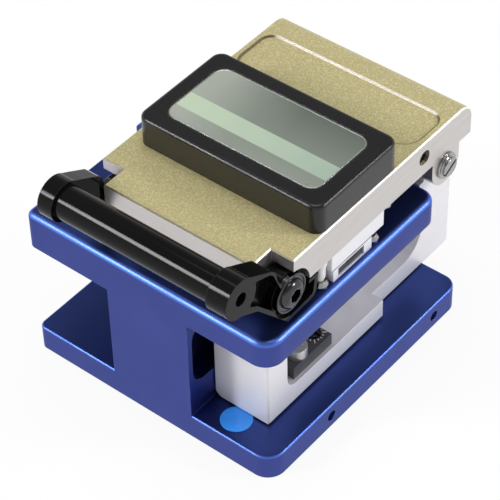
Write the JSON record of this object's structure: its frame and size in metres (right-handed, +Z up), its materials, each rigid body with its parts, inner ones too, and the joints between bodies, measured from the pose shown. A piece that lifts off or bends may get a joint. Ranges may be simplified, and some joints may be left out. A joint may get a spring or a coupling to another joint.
{
  "type": "fibre cleaver",
  "caption": "Bench cleaver for optical fibre: blue frame, hinged clamping lid with a lever handle, and a round blade on a sliding carriage.",
  "frame": {"origin": "centre of the base's underside", "axes": "+X to the tool's right, where the slider is; +Y to the hinge at the rear; +Z up"},
  "size_m": [0.063, 0.0839, 0.0611],
  "materials": {
    "blue_anodised": "satin anodised",
    "lid_aluminium": "fine blasted, clear anodised",
    "silver_aluminium": "milled, clear anodised",
    "black_cover": "satin",
    "black_metal": "gloss black",
    "dark_grey": "satin",
    "steel": "turned",
    "blade": "ground",
    "spring_steel": "drawn",
    "rubber": "moulded",
    "white_plastic": "moulded",
    "label": "satin metallic",
    "blue_sticker": "gloss",
    "ceramic": "polished"
  },
  "bodies": {
    "frame": {"main_frame": "blue_anodised", "rubber_feet": "rubber", "blue_dot": "blue_sticker", "travel_stop_pin": "steel", "bearing_carriage": "steel", "carriage_screws": "steel", "left_clamp_block": "silver_aluminium", "right_clamp_block": "silver_aluminium", "lower_clamp_pads": "rubber", "clamp_block_screws": "steel", "stop_screws": "steel", "hinge_bracket": "silver_aluminium", "bracket_screws": "steel", "hinge_screws": "steel"},
    "lid": {"lid_plate": "lid_aluminium", "top_cover": "black_cover", "cover_label": "label", "cover_screws": "steel", "left_upper_clamp_block": "silver_aluminium", "right_upper_clamp_block": "silver_aluminium", "upper_clamp_pads": "rubber", "upper_block_screws": "steel", "anvil_pivot_pin": "steel", "anvil_spring": "spring_steel", "handle_pivot_screws": "black_metal", "handle_springs": "spring_steel", "lid_bumper": "white_plastic", "lid_magnet": "steel"},
    "anvil": {"anvil_lever": "silver_aluminium", "anvil_tip": "ceramic"},
    "handle": {"left_handle_arm": "black_metal", "right_handle_arm": "black_metal", "grip_bar": "black_metal", "grip_screws": "steel"},
    "slider": {"slider_body": "silver_aluminium", "guide_rail": "steel", "rail_screws": "steel", "adjuster_block": "dark_grey", "adjuster_cap_screw": "steel", "blade_arm": "silver_aluminium", "blade_arm_screws": "steel", "blade_screw": "steel"},
    "blade": {"blade_wheel": "blade"},
    "dial": {"height_dial": "steel"}
  },
  "joints": [
    {"name": "lid_hinge", "type": "hinge", "parent": "frame", "child": "lid", "pos_m": [0.0062, 0.0269, 0.043], "axis": [-1, 0, 0], "range_deg": [0, 85]},
    {"name": "handle_hinge", "type": "hinge", "parent": "lid", "child": "handle", "pos_m": [0.0062, -0.0233, 0.046], "axis": [-1, 0, 0], "range_deg": [0, 8], "stiffness_Nm_per_rad": 0.02, "springref_deg": -17.19},
    {"name": "anvil_hinge", "type": "hinge", "parent": "lid", "child": "anvil", "pos_m": [0.0173, 0.0192, 0.0503], "axis": [1, 0, 0], "range_deg": [0, 2.5], "stiffness_Nm_per_rad": 0.01, "springref_deg": -17.19, "deforming": ["anvil_spring"]},
    {"name": "blade_slide", "type": "slide", "parent": "frame", "child": "slider", "axis": [0, -1, 0], "range_m": [0, 0.0168]},
    {"name": "blade_index", "type": "hinge", "parent": "slider", "child": "blade", "pos_m": [0.0173, 0.0041, 0.034], "axis": [1, 0, 0], "continuous": true},
    {"name": "dial_turn", "type": "hinge", "parent": "slider", "child": "dial", "pos_m": [0.0209, -0.0051, 0.0144], "axis": [0, 0, 1], "range_deg": [-150, 150]}
  ]
}
